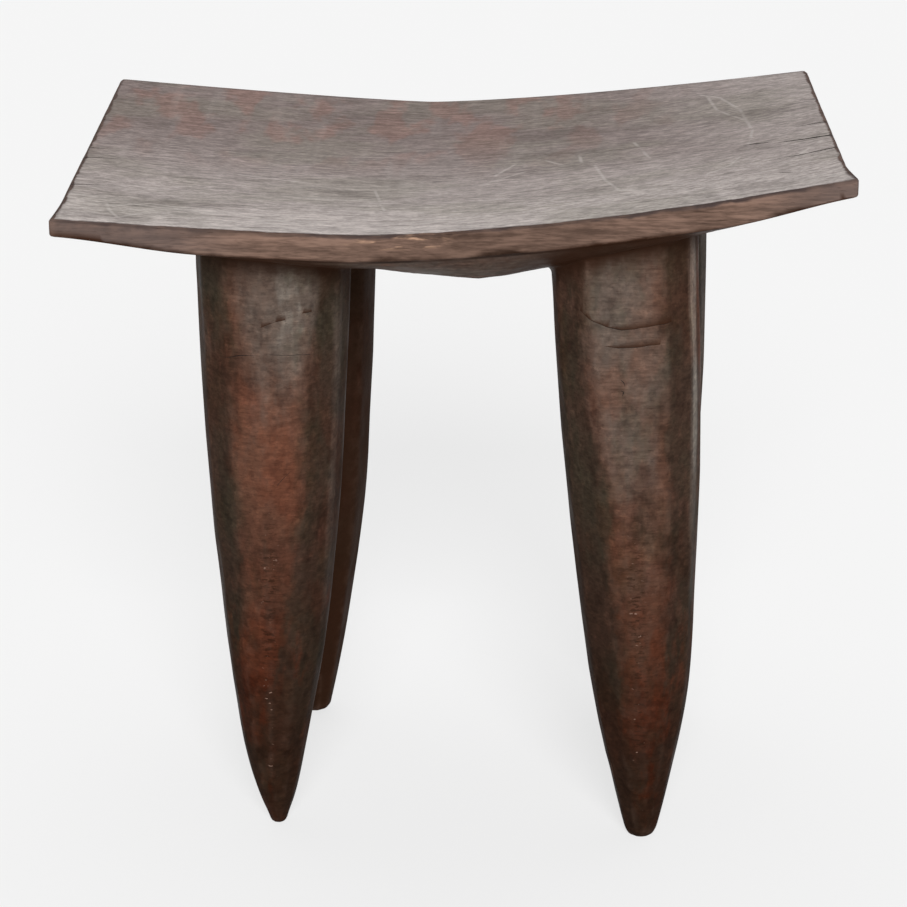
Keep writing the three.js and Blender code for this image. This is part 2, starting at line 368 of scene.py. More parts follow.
# Face counts: coarse cells of half the underside, which the top and the rim have twice as many of, and which
# are crowded towards the sides. Powers crowd the rings towards the legs and the feet, and round a leg the
# columns are partly spaced evenly.
HALF_COLUMNS = 44
HALF_ROWS = 30
CROWDING = 0.08
TOP_INSET = 0.006
RIM_STEPS = 12
UNDER_STEPS = 20
UNDER_CROWDING = 1.5
EVEN_SHARE = 0.6
FILLET_STEPS = 5
LEG_STEPS = 78
LEG_CROWDING = 1.2
FOOT_STEPS = 5

# Large odd numbers that scramble a place and a seed into a random value
PLACE_KEYS = np.array([73856093, 19349663, 83492791])
SEED_KEY = 2654435761
MIX_KEY = 1274126177


def ease(t):
    """0 to 1 with a soft start and end: three t squared minus two t cubed."""
    t = np.clip(t, 0, 1)
    return t * t * (3 - 2 * t)


def hump(t):
    """1 at zero, falling off softly on both sides: e to the power of minus t squared."""
    return np.exp(-(t**2))


def together(*parts):
    """Arrays and numbers side by side along a new last axis."""
    return np.stack(np.broadcast_arrays(*parts), -1)


def noise(points, cell, seed):
    """Smooth noise from -1 to 1: a random value at each corner of a lattice, blended inside its cells."""
    p = np.asarray(points, float) / np.asarray(cell, float) + 1000.0
    base = np.floor(p).astype(np.int64)
    blend = p - base
    blend = blend * blend * (3 - 2 * blend)
    total = np.zeros(p.shape[:-1])
    for corner in np.ndindex(2, 2, 2):
        key = (base + corner) @ PLACE_KEYS + seed * SEED_KEY
        key = (key ^ (key >> 13)) * MIX_KEY & 0xFFFFFFFF
        value = ((key ^ (key >> 16)) & 0xFFFF) / 32767.5 - 1
        total += value * np.prod(np.where(corner, blend, 1 - blend), axis=-1)
    return total


def scallops(points, size, seed):
    """1 in the middle of each mark and 0 where marks meet: one minus the squared distance to the nearest of
    a grid of shifted middles, in units of the mark's size."""
    p = np.asarray(points, float) / np.asarray(size, float) + 1000.0
    nearest = np.full(p.shape[:-1], np.inf)
    for shift in np.ndindex(3, 3):
        cell = np.floor(p) + np.array(shift) - 1
        flat = together(cell[..., 0], cell[..., 1], 0)
        middle = cell + 0.5 + MARK_SHIFT * together(noise(flat, 1.0, seed), noise(flat, 1.0, seed + 1))
        nearest = np.minimum(nearest, ((p - middle) ** 2).sum(-1))
    return np.clip(1 - nearest / MARK_REACH, 0, 1)


def edge_height(edge, x):
    """Height of a long edge: its low point plus a power curve to each end."""
    half = (LEFT_END["back"] + RIGHT_END["waist"] + RIGHT_END["flare"]) / 2
    height = edge["low_z"]
    for side, outwards in (("left", -1), ("right", 1)):
        rise, power = edge[side]
        share = outwards * (x - edge["low_x"]) / (half - outwards * edge["low_x"])
        height = height + rise * np.clip(share, 0, None) ** power
    return height


def seat_distances(x, y, seat):
    """Distances inwards from the nearer end and from the nearer long edge."""
    return seat.length / 2 - np.abs(x), np.maximum(0, seat.depth / 2 - np.abs(y))


def top_height(x, y, seat):
    """The front edge's curve turns into the back edge's, less a shallow parabola across the seat."""
    from_end, _ = seat_distances(x, y, seat)
    across = y / seat.depth + 0.5
    height = (1 - across) * edge_height(FRONT_EDGE, x) + across * edge_height(BACK_EDGE, x)
    return height - seat.hollow * ease(from_end / HOLLOW_FADE_REACH) * (1 - (2 * across - 1) ** 2)


def worn_top(x, y, seat):
    """The top less the shallow marks and waves that scraping left in it, which fade towards its edges."""
    from_end, from_edge = seat_distances(x, y, seat)
    (mark, mark_depth, fade), (wave, wave_depth) = TOP_MARKS, TOP_WAVES
    dips = mark_depth * scallops(together(x, y), mark, 11)
    dips = dips + wave_depth * (1 + noise(together(x, y, 0), wave, 5))
    return top_height(x, y, seat) - ease(from_end / fade) * ease(from_edge / fade) * dips


def end_size(right, name):
    """A size of the right end, or of the left one where right is false."""
    return np.where(right, RIGHT_END[name], LEFT_END[name])


def rim_thickness(x, seat):
    """The end's thickness that grows softly to the middle's."""
    rim, reach = end_size(x >= 0, "rim"), end_size(x >= 0, "rim_reach")
    return rim + (seat.rim - rim) * ease((seat.length / 2 - np.abs(x)) / reach)


def underside_height(x, y, seat):
    """The top less the rim, and less a belly and a keel that deepen exponentially from the long edges."""
    from_end, from_edge = seat_distances(x, y, seat)
    belly = (seat.belly + BELLY_GAIN * x) * ease(from_end / BELLY_TAPER_REACH)
    from_keel = np.where(x < KEEL["x"], (KEEL["x"] - x) / KEEL["left"], (x - KEEL["x"]) / KEEL["right"])
    keel = seat.keel * np.clip(1 - from_keel, 0, 1)
    size, depth, fade = BELLY_MARKS
    marks = depth * scallops(together(x, y), size, 21) * ease((from_edge - TOP_INSET) / fade)
    marks = marks * ease(from_end / fade)
    rim_bottom = top_height(x, y, seat) - rim_thickness(x, seat)
    return rim_bottom - (belly + keel) * (1 - np.exp(-from_edge / BELLY_RUN)) + marks


def end_reach(right, y, seat):
    """How far an end stands out: a straight taper from waist to back, and a power flare at the front."""
    from_front = y + seat.depth / 2
    waist, back, flare = (end_size(right, name) for name in ("waist", "back", "flare"))
    flare = flare * np.clip(1 - from_front / FLARE_REACH, 0, None) ** FLARE_POWER
    return waist + (back - waist) * from_front / seat.depth + flare


def plan_place(u, v, inset, seat):
    """Plan place of the grid point (u, v), each from -1 to 1 and crowded to the sides by a sine, on a plan
    drawn in by the inset, whose corners are rounded by scaling them back on to a circle."""
    y = (v + CROWDING * np.sin(math.pi * v)) * (seat.depth / 2 - inset)
    reach = end_reach(u > 0, y, seat)
    x = (u + CROWDING / 2 * np.sin(math.pi * u)) * (reach - inset)
    over_x = np.clip(np.abs(x) - (reach - CORNER_ROUND), 0, None)
    over_y = np.clip(np.abs(y) - (seat.depth / 2 - CORNER_ROUND), 0, None)
    span = np.hypot(over_x, over_y)
    keep = np.where((over_x > 0) & (over_y > 0), np.maximum(over_x, over_y) / np.maximum(span, 1e-9), 1)
    return x - np.sign(x) * over_x * (1 - keep), y - np.sign(y) * over_y * (1 - keep)


def leg_radius(leg, z):
    """A bulging taper, one minus a power, to a power, blended by fourth powers with the foot's radius, plus
    a Gaussian swelling at the knee and a flare into the seat."""
    rise = np.clip((z + leg["tip"]) / LEG_HEIGHT, 0, 1)
    taper = leg["radius"] * (1 - (1 - rise) ** leg["bulge"]) ** leg["blunt"]
    flare = HEAD_FLARE * ease((z - HEAD_FLARE_START) / HEAD_FLARE_HEIGHT)
    height, swell, _ = leg["knee"]
    return (taper**4 + leg["foot_radius"] ** 4) ** 0.25 + swell * hump((z - height) / KNEE_REACH) + flare


def leg_centre(leg, z):
    """Centre of the leg at a height: from foot to head by a power of the height, pushed by a Gaussian at the
    knee."""
    lean = (np.clip(z, 0, None) / LEG_HEIGHT) ** LEAN_POWER
    foot, head = np.array(leg["foot"]), np.array(leg["head"])
    height, _, push = leg["knee"]
    knee = hump((z - height) / KNEE_REACH)
    return foot + (head - foot) * lean[..., None] + np.array([push, 0.0]) * knee[..., None]


def press_flats(leg, angle, z):
    """Share of the radius left by the adze's flats: the soft minimum of one and each flat's chord."""
    down = 1 - np.clip(z / LEG_HEIGHT, 0, 1)
    total = np.exp(-FLAT_SHARPNESS * np.ones_like(angle))
    for i, (at, half, drift, kept) in enumerate(leg["flats"]):
        strokes = noise(together(i * 7.0, 0, z / STROKE_LENGTH), 1.0, i)
        turn = np.cos(angle - np.radians(at + drift * down + STROKE_TURN * strokes))
        width = np.radians(half) * (1 - (1 - kept) * down)
        chord = np.where(turn > FLAT_SIGHT, np.cos(width) / np.maximum(turn, FLAT_SIGHT), np.inf)
        total += np.exp(-FLAT_SHARPNESS * (chord * (1 - STROKE_DEPTH * strokes)))
    return -np.log(total) / FLAT_SHARPNESS


def turned(angle, centre):
    """Degrees from a direction to the angle, from -180 to 180."""
    return (np.degrees(angle) - centre + 180) % 360 - 180


def rubbed(rubs, angle, z, seed):
    """The strongest of the rubs at each place: each is 1 along a line of angles that runs up the leg and
    fades softly past its half width, with an edge that noise makes uneven."""
    total = np.zeros_like(z)
    for i, places in enumerate(rubs):
        heights, *values = np.array(places).T
        centre, half, strength = (np.interp(z, heights, value) for value in values)
        uneven = noise(together(angle * 3, z / 0.05, 5.0 * i + seed), 1.0, seed)
        turn = np.abs(turned(angle, centre)) / half + RUB_EDGE["ragged"] * uneven
        total = np.maximum(total, strength * (1 - ease((turn - RUB_EDGE["start"]) / RUB_EDGE["fade"])))
    return total


def knot_swell(leg, angle, z):
    """On the knot's leg, a Gaussian swelling, and a step out above a curved line and in below it."""
    if leg["name"] != KNOT_LEG:
        return 0 * z
    turn = turned(angle, KNOT["angle"]) / KNOT["half_angle"]
    over = (z - KNOT["height"]) / KNOT["half_height"]
    swell = KNOT["swell"] * np.exp(-(turn**2) - over**2)
    turn = turned(angle, LEDGE["angle"]) / LEDGE["half_angle"]
    over = z - (LEDGE["height"] + LEDGE["sag"] * turn**2)
    step = LEDGE_STEP["height"] * np.exp(-np.abs(over) / LEDGE_STEP["fade"])
    step = step * np.tanh(over / LEDGE_STEP["edge"])
    return swell + step * ease(LEDGE_STEP["end"] - np.abs(turn))


def leg_reach(leg, angle, z):
    """The radius pressed to the flats, less the adze's scallops, with the knot and a slight unevenness."""
    (mark, mark_depth, fade), (wave, wave_depth) = LEG_MARKS, LEG_WAVES
    radius = leg_radius(leg, z)
    around = angle * radius
    dips = mark_depth * scallops(together(around, z), mark, leg["seed"])
    dips = dips + wave_depth * noise(together(around, z, 0), wave, leg["seed"])
    return radius * press_flats(leg, angle, z) - ease(z / fade) * dips + knot_swell(leg, angle, z)


def outline(u, v):
    """The border of a grid as grid points (u, v), anticlockwise from its first corner."""
    columns, rows = len(u) - 1, len(v) - 1
    border_u = np.concatenate([u[:-1], np.full(rows, u[-1]), u[:0:-1], np.full(rows, u[0])])
    border_v = np.concatenate([np.full(columns, v[0]), v[:-1], np.full(columns, v[-1]), v[:0:-1]])
    return border_u, border_v


def strip_faces(rings, count, closed=True):
    """Quads between rings of points. In a closed strip the last point of a ring is joined to its first."""
    ring, i = np.meshgrid(np.arange(rings - 1), np.arange(count - (not closed)), indexing="ij")
    first, after = ring * count + i, ring * count + (i + 1) % count
    return together(first, first + count, after + count, after).reshape(-1, 4)


def seat_grid():
    """The top's grid values along and across, from -1 to 1."""
    return (np.linspace(-1, 1, 4 * cells + 1) for cells in (HALF_COLUMNS, HALF_ROWS))


def seat_top(seat):
    """The top as one grid, with its faces."""
    x, y = plan_place(*np.meshgrid(*seat_grid(), indexing="ij"), TOP_INSET, seat)
    return together(x, y, worn_top(x, y, seat)).reshape(-1, 3), strip_faces(*x.shape, closed=False)


def seat_rim(seat):
    """The rim as rings whose section is half a superellipse, with its upper corner dented and its face
    hollowed a little by noise. Faces with five corners join its last ring to the coarser underside."""
    u, v = outline(*seat_grid())
    edge = together(*plan_place(u, v, 0.0, seat), 0)
    chips = np.clip(noise(edge, CORNER_CHIPS["size"], 3) - CORNER_CHIPS["from"], 0, 1)
    dents = CORNER_LOSS + CORNER_CHIPS["depth"] * chips
    dents = dents + CORNER_WAVES["depth"] * noise(edge, CORNER_WAVES["size"], 4)
    hollows = sum(deep * (1 + noise(edge, size, seed)) for seed, (size, deep) in enumerate(FACE_HOLLOWS, 6))
    power = 2 / seat.edge_crispness
    rings = []
    for angle in np.linspace(0, math.pi, RIM_STEPS + 1):
        sine, cosine = math.sin(angle) if 0 < angle < math.pi else 0.0, math.cos(angle)
        dent = dents * (math.exp(-(((angle - math.pi / 4) / CORNER_SPREAD) ** 2)) if angle > 0 else 0)
        cut = dent + hollows * sine**2
        x, y = plan_place(u, v, TOP_INSET - (TOP_INSET + seat.nose) * sine**power + cut, seat)
        top, under = worn_top(x, y, seat), underside_height(x, y, seat)
        level = math.copysign(abs(cosine) ** power, cosine)
        rings.append(together(x, y, (top + under) / 2 + (top - under) / 2 * level - dent))
    points = np.concatenate(rings[:-1] + [rings[-1][::2]])
    around, i = len(u), np.arange(len(u) // 2)
    last, low = (RIM_STEPS - 1) * around, RIM_STEPS * around
    after, low_after = last + (2 * i + 2) % around, low + (i + 1) % len(i)
    fives = together(last + 2 * i, low + i, low_after, after, last + 2 * i + 1)
    return points, strip_faces(RIM_STEPS, around), fives


def quarter_and_leg(leg, seat):
    """A quarter of the underside and its leg as one strip: straight lines from the outline to where the leg
    starts, a quarter circle into the leg, rings down the leg, and a rounded foot closed at its middle."""
    head = np.array(leg["head"])
    cells = zip((HALF_COLUMNS, HALF_ROWS), head)
    u, v = (np.linspace(0, 1, count + 1) - (1 if side < 0 else 0) for count, side in cells)
    outer = together(*plan_place(*outline(u, v), TOP_INSET, seat))
    around = len(outer)
    true_angle = np.unwrap(np.arctan2(*(outer - head).T[::-1]))
    even_angle = true_angle[0] + 2 * math.pi * np.arange(around) / around
    angle = (1 - EVEN_SHARE) * true_angle + EVEN_SHARE * even_angle
    ray = together(np.cos(angle), np.sin(angle))

    root_z = np.full(around, LEG_HEIGHT)
    for _ in range(3):
        reach = leg_reach(leg, angle, root_z) + seat.fillet
        hole = leg_centre(leg, root_z) + ray * reach[:, None]
        root_z = underside_height(*hole.T, seat)

    def leg_ring(z, draw_in=0.0):
        reach = leg_reach(leg, angle, z) - draw_in
        return together(*(leg_centre(leg, z) + ray * reach[:, None]).T, z)

    rings = []
    for step in range(UNDER_STEPS + 1):
        t = 1 - (1 - step / UNDER_STEPS) ** UNDER_CROWDING
        x, y = ((1 - t) * outer + t * hole).T
        rings.append(together(x, y, underside_height(x, y, seat)))
    for step in range(1, FILLET_STEPS + 1):
        turn = math.pi / 2 * step / FILLET_STEPS
        z = root_z - seat.fillet * (1 - math.cos(turn))
        rings.append(leg_ring(z, -seat.fillet * (1 - math.sin(turn))))
    below = root_z - seat.fillet
    round_height, round_width = leg["foot_round"]
    for step in range(1, LEG_STEPS + 1):
        left = (1 - step / LEG_STEPS) ** LEG_CROWDING
        rings.append(leg_ring(round_height + (below - round_height) * left))
    for step in range(1, FOOT_STEPS + 1):
        turn = math.pi / 2 * step / FOOT_STEPS
        z = np.full(around, round_height * (1 - math.sin(turn)))
        rings.append(leg_ring(z, round_width * (1 - math.cos(turn))))
    middle = np.array([*leg["foot"], 0.0])
    rings.append(middle + (rings[-1] - middle) * 0.5)
    points = np.concatenate(rings + [middle[None]])
    last, i = (len(rings) - 1) * around, np.arange(around)
    tip = together(last + i, len(points) - 1, last + (i + 1) % around)
    return points, strip_faces(len(rings), around), tip


def weld(parts):
    """Joins the parts' points that share a place to the micrometre, and gives the points and the faces."""
    points = np.concatenate([part[0] for part in parts])
    microns = np.round(points * 1e6).astype(np.int64)
    _, first, inverse = np.unique(microns, axis=0, return_index=True, return_inverse=True)
    inverse = inverse.ravel()
    faces = []
    start = 0
    for part_points, *blocks in parts:
        for block in blocks:
            faces.extend(inverse[block + start].tolist())
        start += len(part_points)
    return points[first], faces


def new_object(name, points, faces):
    """A mesh object at the origin."""
    mesh = bpy.data.meshes.new(name)
    mesh.from_pydata(points, [], faces)
    mesh.update()
    item = bpy.data.objects.new(name, mesh)
    bpy.context.scene.collection.objects.link(item)
    return item


def wedge(path, side, out, width, depth):
    """A cutter along a path: its section is a triangle with its point at the depth and the given width at
    the surface, which it stands a little proud of."""
    half = (width / 2 * (1 + CUTTER_LIFT / depth))[:, None] * side
    lifted = path + CUTTER_LIFT * out
    section = np.stack([lifted - half, path - depth[:, None] * out, lifted + half], 1).reshape(-1, 3)
    end = len(section)
    return section, strip_faces(len(path), 3).tolist() + [[0, 1, 2], [end - 1, end - 2, end - 3]]


def split_widths(sine, places, run, seed):
    """Shares of a split's width along it: a sine to a power, made uneven by noise and never nothing."""
    (size, share), (power, least) = run["uneven"], run["swell"]
    return np.clip(sine**power * (1 + share * noise(places, size, seed)), least, None)


def seat_split(start, end, width, depth, seat):
    """A split in the top from its inner to its outer place, wandering a little and widest at an open end."""
    (start_x, start_y), (along_x, along_y) = start, np.subtract(end, start)
    t = np.linspace(0, 1, 4 + int(math.hypot(along_x, along_y) / SEAT_SPLIT_RUN["step"]))
    x, y = start_x + along_x * t, start_y + along_y * t
    size, reach = SEAT_SPLIT_RUN["wander"]
    y = y + reach * noise(together(x, start_y, 0), size, 8)
    sine = np.sin(math.pi * t * (0.5 if abs(end[0]) > OPEN_END else 1))
    widths = split_widths(sine, together(x, y, 0), SEAT_SPLIT_RUN, 9)
    side, out = np.array([0.0, math.copysign(1, along_x), 0.0]), np.array([0.0, 0.0, 1.0])
    return wedge(together(x, y, worn_top(x, y, seat)), side, out, width * widths, depth * widths**0.5)


def leg_split(leg, places, width, depth):
    """A hairline round a leg through places given as angle and height, widest at its middle."""
    angles, heights = np.array(places).T
    angles = np.radians(angles)
    along = np.hypot(np.diff(angles) * LEG_MIDDLE_RADIUS, np.diff(heights)).cumsum()
    along = np.concatenate([[0], along])
    t = np.linspace(0, along[-1], 4 + int(along[-1] / LEG_SPLIT_RUN["step"]))
    angle, z = np.interp(t, along, angles), np.interp(t, along, heights)
    line = together(t, heights[0] * 50, 0)
    size, reach = LEG_SPLIT_RUN["wander"]
    z = z + reach * noise(line, size, 12)
    out = together(np.cos(angle), np.sin(angle), 0)
    path = together(*(leg_centre(leg, z) + out[:, :2] * leg_reach(leg, angle, z)[:, None]).T, z)
    side = np.cross(out, np.gradient(path, axis=0))
    side /= np.linalg.norm(side, axis=1)[:, None]
    widths = split_widths(np.sin(math.pi * t / along[-1]), line, LEG_SPLIT_RUN, 13)
    return wedge(path, side, out, width * widths, depth * widths)


def cut_splits(table, seat):
    """Takes all the splits out of the table, whose walls get the second material."""
    cutters = [seat_split(*split, seat) for split in SEAT_SPLITS]
    cutters += [leg_split(LEGS[number], *rest) for number, *rest in LEG_SPLITS]
    faces, start = [], 0
    for cutter_points, cutter_faces in cutters:
        faces.extend([start + i for i in face] for face in cutter_faces)
        start += len(cutter_points)
    tool = new_object("splits", np.concatenate([points for points, _ in cutters]), faces)
    for material in table.data.materials:
        tool.data.materials.append(material)
    tool.data.polygons.foreach_set("material_index", np.ones(len(faces), np.int32))
    shape = bmesh.new()
    shape.from_mesh(tool.data)
    bmesh.ops.recalc_face_normals(shape, faces=shape.faces)
    shape.to_mesh(tool.data)
    shape.free()
    cut = table.modifiers.new("splits", "BOOLEAN")
    cut.operation = "DIFFERENCE"
    cut.solver = "MANIFOLD"
    cut.object = tool
    whole = table.evaluated_get(bpy.context.evaluated_depsgraph_get())
    mesh = bpy.data.meshes.new_from_object(whole)
    table.modifiers.clear()
    table.data = mesh
    bpy.data.objects.remove(tool)


def mesh_array(items, name, width, kind=np.float32):
    """A property of all vertices, edges, faces or corners as an array."""
    values = np.empty(len(items) * width, kind)
    items.foreach_get(name, values)
    return values.reshape(-1, width) if width > 1 else values


def bend(points, normals, edges):
    """How far each point stands above its neighbours' mean, over the edge length, averaged once with theirs:
    above zero on ridges and below it in creases."""
    a, b = edges.T
    count = np.bincount(np.concatenate([a, b]), minlength=len(points))

    def mean(at_a, at_b):
        return (np.bincount(a, at_a, len(points)) + np.bincount(b, at_b, len(points))) / count

    along = points[a] - points[b]
    length = np.linalg.norm(along, axis=1)
    value = mean((along * normals[a]).sum(1) / length, (-along * normals[b]).sum(1) / length)
    return (value + mean(value[b], value[a])) / 2


def near_splits(mesh, edges):
    """Which vertices are on a split's wall or within two edges of one."""
    is_wall = mesh_array(mesh.polygons, "material_index", 1, np.int32) == 1
    on_wall = np.repeat(is_wall, mesh_array(mesh.polygons, "loop_total", 1, np.int32))
    near = np.zeros(len(mesh.vertices), bool)
    near[mesh_array(mesh.loops, "vertex_index", 1, np.int32)[on_wall]] = True
    for _ in range(2):
        near[edges[near[edges].any(1)].ravel()] = True
    return near


def leg_masks(points, below):
    """Each leg's ray flecks, its places rubbed brown and grey, which also carry painted light and painted
    sheen, the shade on its inner side, and the distance from the nearest leg."""
    z = points[:, 2]
    fleck, inner, from_leg = np.zeros(len(z)), np.zeros(len(z)), np.full(len(z), np.inf)
    brown, grey = UNDER_BROWN * (below < UNDER_BAND), UNDER_GREY * (below < UNDER_BAND)
    for seed, leg in enumerate(LEGS):
        from_centre = (points[:, :2] - leg_centre(leg, z)).T
        angle, distance = np.arctan2(*from_centre[::-1]), np.hypot(*from_centre)
        near = (distance < LEG_ZONE) & (below > -LEG_OVERLAP)
        from_leg = np.minimum(from_leg, distance - leg["radius"])
        turn = np.cos(angle - math.atan2(-leg["head"][1], -leg["head"][0])) - INNER_SHADE["turn"]
        inner = np.maximum(inner, INNER_SHADE["strength"] * near * ease(turn / INNER_SHADE["soft"]))
        wander = FLECKS["wander"] * noise(points, FLECKS["wander_size"], seed)
        column = np.abs(np.abs(np.degrees(angle)) - FLECKS["angle"] - wander)
        flecks = near * ease(1 - (column - FLECKS["half"]) / FLECKS["fade"])
        flecks = flecks * ease((FLECK_HEIGHTS["top"] - z) / FLECK_HEIGHTS["top_fade"])
        fleck = np.maximum(fleck, flecks * ease(z / FLECK_HEIGHTS["foot_fade"]))
        brown = np.where(near, rubbed(leg["brown_rubs_and_painted_light"], angle, z, 3 * seed), brown)
        grey = np.where(near, rubbed(leg["grey_rubs_and_painted_sheen"], angle, z, 3 * seed + 1), grey)
    return fleck, brown, grey, inner, from_leg


def shade_mask(facing, z, below, inner, from_leg):
    """The strongest of the shade on what faces down, on the legs' inner sides and in the band under the
    seat, which fades by a power of the height below it."""
    near_leg = ease((NEAR_LEG_SHADE["reach"] - from_leg) / NEAR_LEG_SHADE["fade"])
    down = ease((-facing - DOWN_SHADE["turn"]) / DOWN_SHADE["soft"]) * (z > DOWN_SHADE["above"])
    down = down * (DOWN_SHADE["least"] + NEAR_LEG_SHADE["strength"] * near_leg)
    passed = np.clip((below - BAND_PROFILE["gap"]) / BAND_PROFILE["height"], 0, 1)
    band = (1 - passed) ** BAND_PROFILE["power"] * (below > -BAND_PROFILE["overlap"])
    band = band * (z > BAND_SHADE["above"])
    band = band * BAND_SHADE["strength"] * (facing > BAND_SHADE["turn"])
    return np.maximum.reduce([down, inner, band])


def write_masks(table, seat):
    """Masks for the finish: the distance in from the top's edge in millimetres, which goes below zero down
    the rim, the share of the rim's thickness passed, worn ridges, creases darkened with dirt and painted
    shade, rubbed and flecked places of the legs, the rubbed ones also carrying painted light and sheen,
    and the shade under the seat and on the legs' inner sides."""
    mesh = table.data
    points = mesh_array(mesh.vertices, "co", 3).astype(float)
    normals = mesh_array(mesh.vertex_normals, "vector", 3).astype(float)
    edges = mesh_array(mesh.edges, "vertices", 2, np.int32)
    x, y, z = points.T
    reach = end_reach(x > 0, np.clip(y, -seat.depth / 2, seat.depth / 2), seat)
    inside = np.minimum(reach - np.abs(x), seat.depth / 2 - np.abs(y))
    drop = np.clip(worn_top(x, y, seat) - z, 0, None)
    rim = rim_thickness(x, seat)
    from_corner = np.where(drop < CORNER_SHARE * rim, np.clip(inside, 0, None) - drop, -drop)
    bends = bend(points, normals, edges) * ~near_splits(mesh, edges)
    under = underside_height(*(np.clip(p, -end, end) for p, end in zip((x, y), UNDER_BORDER)), seat)
    fleck, brown, grey, inner, from_leg = leg_masks(points, under - z)
    masks = {
        "edge": np.clip(1000 * from_corner, -EDGE_REACH, EDGE_REACH),
        "drop": np.clip(drop / rim, 0, 3),
        "ridge": np.clip(bends * BEND_GAIN, 0, 1),
        "crease": np.clip(-bends * BEND_GAIN, 0, 1),
        "fleck": fleck,
        "brown": brown,
        "grey": grey,
        "shade": shade_mask(normals[:, 2], z, under - z, inner, from_leg),
    }
    for name, values in masks.items():
        layer = mesh.attributes.new(name, "FLOAT", "POINT")
        layer.data.foreach_set("value", np.ascontiguousarray(values, np.float32))


def add(tree, kind, inputs=None, **settings):
    """Adds a node, with its properties as settings and its sockets' values or links as inputs."""
    node = tree.nodes.new("ShaderNode" + kind)
    for name, value in settings.items():
        setattr(node, name, value)
    for name, value in (inputs or {}).items():
        if isinstance(value, bpy.types.NodeSocket):
            tree.links.new(value, node.inputs[name])
        else:
            node.inputs[name].default_value = value
    return node


def fed(kind, inputs, **settings):
    """Adds a node to the tree that the links among its inputs come from."""
    tree = next(value.id_data for value in inputs.values() if isinstance(value, bpy.types.NodeSocket))
    return add(tree, kind, inputs, **settings)


def calc(operation, first, *others, clamp=False):
    """The result of one kind of sum, carried on over all the values; a sum of one value has no others."""
    for value in others or (0.0,):
        first = fed("Math", {0: first, 1: value}, operation=operation, use_clamp=clamp).outputs[0]
    return first


def times(*values):
    """The values multiplied."""
    return calc("MULTIPLY", *values)


def vectors(operation, a, b):
    """The result of one sum of vectors: a value for a distance or a dot product, else a vector."""
    second = "Scale" if operation == "SCALE" else 1
    node = fed("VectorMath", {0: a, second: b}, operation=operation)
    return node.outputs["Value" if operation in {"DISTANCE", "DOT_PRODUCT"} else "Vector"]


def between(value, low, high, bottom=0.0, top=1.0):
    """A soft step of the value from bottom at low to top at high."""
    span = {"Value": value, "From Min": low, "From Max": high, "To Min": bottom, "To Max": top}
    return fed("MapRange", span, interpolation_type="SMOOTHSTEP").outputs["Result"]


def blend(factor, a, b, how="MIX"):
    """Two colours mixed."""
    a, b = ((*c, 1.0) if not isinstance(c, bpy.types.NodeSocket) and len(c) == 3 else c for c in (a, b))
    return fed("Mix", {0: factor, 6: a, 7: b}, data_type="RGBA", blend_type=how).outputs[2]


def clouds(place, scale, shift=0.0, detail=3.0, roughness=0.55):
    """Noise from 0 to 1, about 0.5, with its own scale along each axis."""
    moved = fed("Mapping", {"Vector": place, "Location": (shift, shift, shift), "Scale": scale})
    look = {"Vector": moved.outputs[0], "Scale": 1.0, "Detail": detail, "Roughness": roughness}
    return fed("TexNoise", look).outputs["Fac"]


def new_group(name, takes, gives):
    """An empty node group that takes places and gives values, with the sockets inside it."""
    tree = bpy.data.node_groups.new(name, "ShaderNodeTree")
    for socket in takes:
        tree.interface.new_socket(socket, in_out="INPUT", socket_type="NodeSocketVector")
    for socket in gives:
        tree.interface.new_socket(socket, in_out="OUTPUT", socket_type="NodeSocketFloat")
    return tree, tree.nodes.new("NodeGroupInput").outputs, tree.nodes.new("NodeGroupOutput").inputs


def grain_group():
    """Grain along X that wanders a little: dashes, streaks, thin dark lines, pores and their height."""
    names = ("Dashes", "Streaks", "Lines", "Pores", "Height")
    tree, given, result = new_group("grain", ["Place"], names)
    drift = fed("TexNoise", {"Vector": given["Place"], "Scale": 7.0, "Detail": 2.0}).outputs["Color"]
    wander = vectors("SCALE", vectors("SUBTRACT", drift, (0.5, 0.5, 0.5)), GRAIN_WANDER)
    place = vectors("ADD", given["Place"], wander)
    dashes = clouds(place, (85, 400, 620), 0.0, 3.0, 0.62)
    streaks = clouds(place, (19, 210, 330), 5.0, 4.0, 0.6)
    lines = between(clouds(place, (13, 300, 300), 3.0, 3.0, 0.6), 0.56, 0.72)
    pores = between(clouds(place, (130, 1500, 1500), 11.0, 1.0, 0.5), 0.62, 0.74)
    height = calc("SUBTRACT", dashes, lines, times(pores, 0.6))
    for name, value in zip(names, (dashes, streaks, lines, pores, height)):
        tree.links.new(value, result[name])
    return tree


def scratch_group():
    """A straight scratch seen from above: 1 at its middle, 0 past its width, by distance to a segment."""
    tree, given, result = new_group("scratch", ["Place", "From", "To"], ["Mask"])
    flat = vectors("MULTIPLY", given["Place"], (1, 1, 0))
    along = vectors("SUBTRACT", given["To"], given["From"])
    offset = vectors("SUBTRACT", flat, given["From"])
    shadow, square = (vectors("DOT_PRODUCT", a, along) for a in (offset, along))
    share = calc("DIVIDE", shadow, square, clamp=True)
    away = vectors("DISTANCE", offset, vectors("SCALE", along, share))
    line = between(calc("DIVIDE", away, SCRATCH_WIDTH), 0.15, 1.0, 1.0, 0.0)
    tree.links.new(line, result["Mask"])
    return tree


def scratches(place):
    """All the scratches of the top in one mask, broken up by noise."""
    group = scratch_group()
    lines = [0.0]
    for stroke in SCRATCHES:
        for start, end in zip(stroke, stroke[1:]):
            ends = {"Place": place, "From": (*start, 0), "To": (*end, 0)}
            lines.append(fed("Group", ends, node_tree=group).outputs["Mask"])
    broken = between(clouds(place, (60, 60, 60), 2.0), 0.3, 0.58)
    return times(calc("MAXIMUM", *lines), broken)


def mask(place, name):
    """One of the masks stored on the mesh, in the tree of the place."""
    return add(place.id_data, "Attribute", attribute_name=name).outputs["Fac"]


